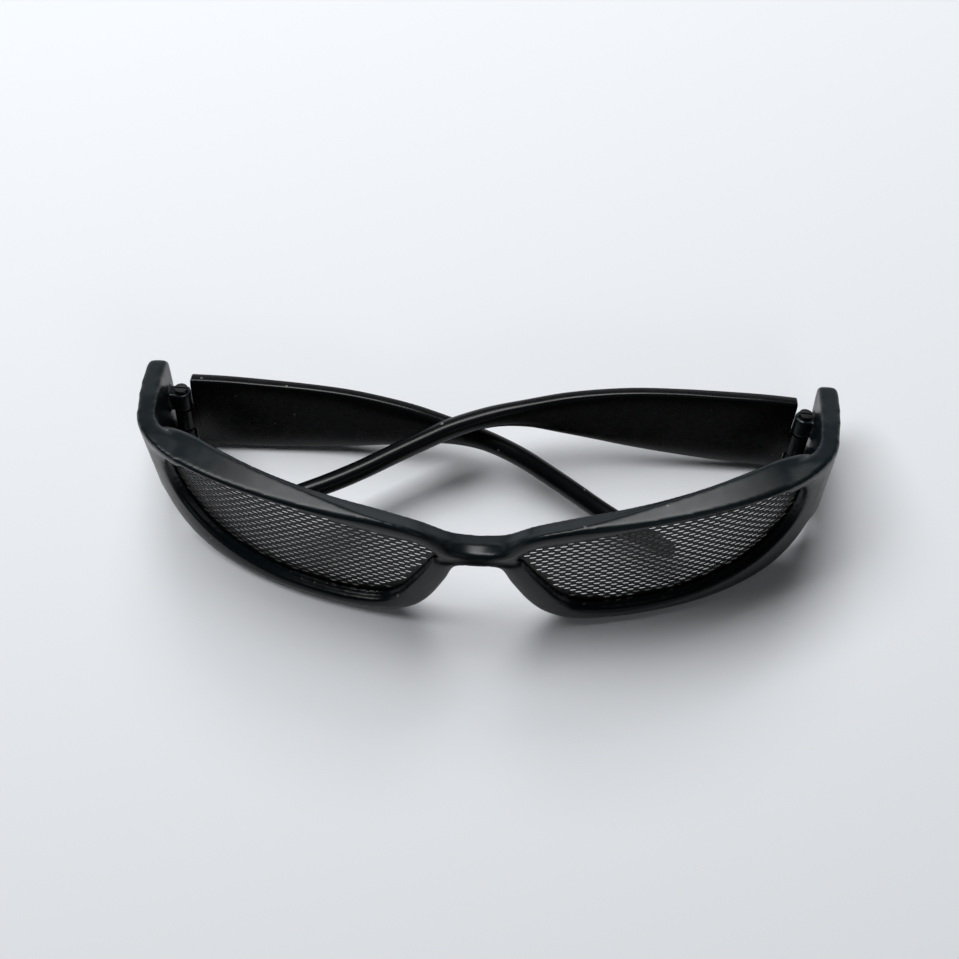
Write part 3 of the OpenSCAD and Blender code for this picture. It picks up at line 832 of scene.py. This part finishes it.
# The hinge screws are small blackened steel pan heads, turned down through the three knuckles.
# Their solids stay as they are and get a finish.
blackened_steel = satin("blackened_screw_steel", (0.04, 0.04, 0.042), (0.06, 0.06, 0.062),
                        metallic=1, roughness=0.34, grain=5200, bump=0.2, dust=0.3)
for side in ("right", "left"):
    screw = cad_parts[side + "_hinge_screw"]
    for slot in screw.material_slots:
        slot.material = blackened_steel

# The studio: a pale plain floor under a wide soft window, a small strip light behind the bridge
# and a weak fill from the front
FLOOR_REACH = 1
FLOOR_COLOUR = (0.75, 0.77, 0.8, 1)
FLOOR_ROUGHNESS = 0.8
ROOM_COLOUR = (0.82, 0.88, 0.95, 1)
ROOM_STRENGTH = 0.04
floor_corners = [(x * FLOOR_REACH, y * FLOOR_REACH, 0) for x, y in ((-1, -1), (1, -1), (1, 1), (-1, 1))]
floor = new_piece("floor", floor_corners, [(0, 1, 2, 3)])
paper = bpy.data.materials.new("pale_floor")
paper.use_nodes = True
paper.node_tree.nodes["Principled BSDF"].inputs["Base Color"].default_value = FLOOR_COLOUR
paper.node_tree.nodes["Principled BSDF"].inputs["Roughness"].default_value = FLOOR_ROUGHNESS
floor.data.materials.append(paper)


def area_light(name, place, target, size, power):
    """A rectangular light at a place, turned to a target, in metres and watts."""
    data = bpy.data.lights.new(name, "AREA")
    data.shape = "RECTANGLE"
    data.size, data.size_y = size
    data.energy = power
    lamp = bpy.data.objects.new(name, data)
    scene.collection.objects.link(lamp)
    lamp.rotation_euler = Vector(np.subtract(place, target)).to_track_quat("Z", "Y").to_euler()
    lamp.location = place


area_light("window", (-0.35, 0.68, 1.0), (0, 0, 0.01), (1.2, 0.4), 18.5)
area_light("strip", (0.02, 0.92, 0.7), (0, 0, 0.03), (0.5, 0.24), 4)
area_light("fill", (0.5, -0.75, 0.7), (0, 0, 0.01), (0.5, 0.3), 0.7)
world = bpy.data.worlds.new("room")
scene.world = world
world.use_nodes = True
world.node_tree.nodes["Background"].inputs["Color"].default_value = ROOM_COLOUR
world.node_tree.nodes["Background"].inputs["Strength"].default_value = ROOM_STRENGTH

# The camera looks almost straight down, as the photograph does. Its axis leans by the two tilts and
# is turned by YAW, and TARGET is the point of the table that it looks at.
TILT_A, TILT_B = 0.08043, 0.04729
YAW = -0.04815
DISTANCE = 0.3227
TARGET = np.array([0.00153, -0.00421, 0])
SENSOR = 36
FOCAL_PX = 1400
PICTURE_PX = 959
toward = np.array([TILT_B, TILT_A, 1.0])
toward /= np.linalg.norm(toward)
ahead = -toward
right = np.array([1.0, 0, 0])
right -= right.dot(ahead) * ahead
right /= np.linalg.norm(right)
view = np.stack([right, np.cross(ahead, right), ahead], 1)
turn = np.array([[math.cos(YAW), -math.sin(YAW), 0], [math.sin(YAW), math.cos(YAW), 0], [0, 0, 1]])
eye = turn.T @ (-view.T @ np.array([0, 0, DISTANCE]) - TARGET)
axes = turn.T @ view.T @ np.array([[1, 0, 0], [0, -1, 0], [0, 0, -1]]).T
camera = bpy.data.objects.new("camera", bpy.data.cameras.new("camera"))
scene.collection.objects.link(camera)
camera.matrix_world = Matrix([[*axes[0], eye[0]], [*axes[1], eye[1]], [*axes[2], eye[2]], [0, 0, 0, 1]])
camera.data.sensor_width = SENSOR
camera.data.lens = SENSOR * FOCAL_PX / PICTURE_PX
scene.camera = camera
scene.render.resolution_x = scene.render.resolution_y = PICTURE_PX
scene.view_settings.view_transform = "Standard"
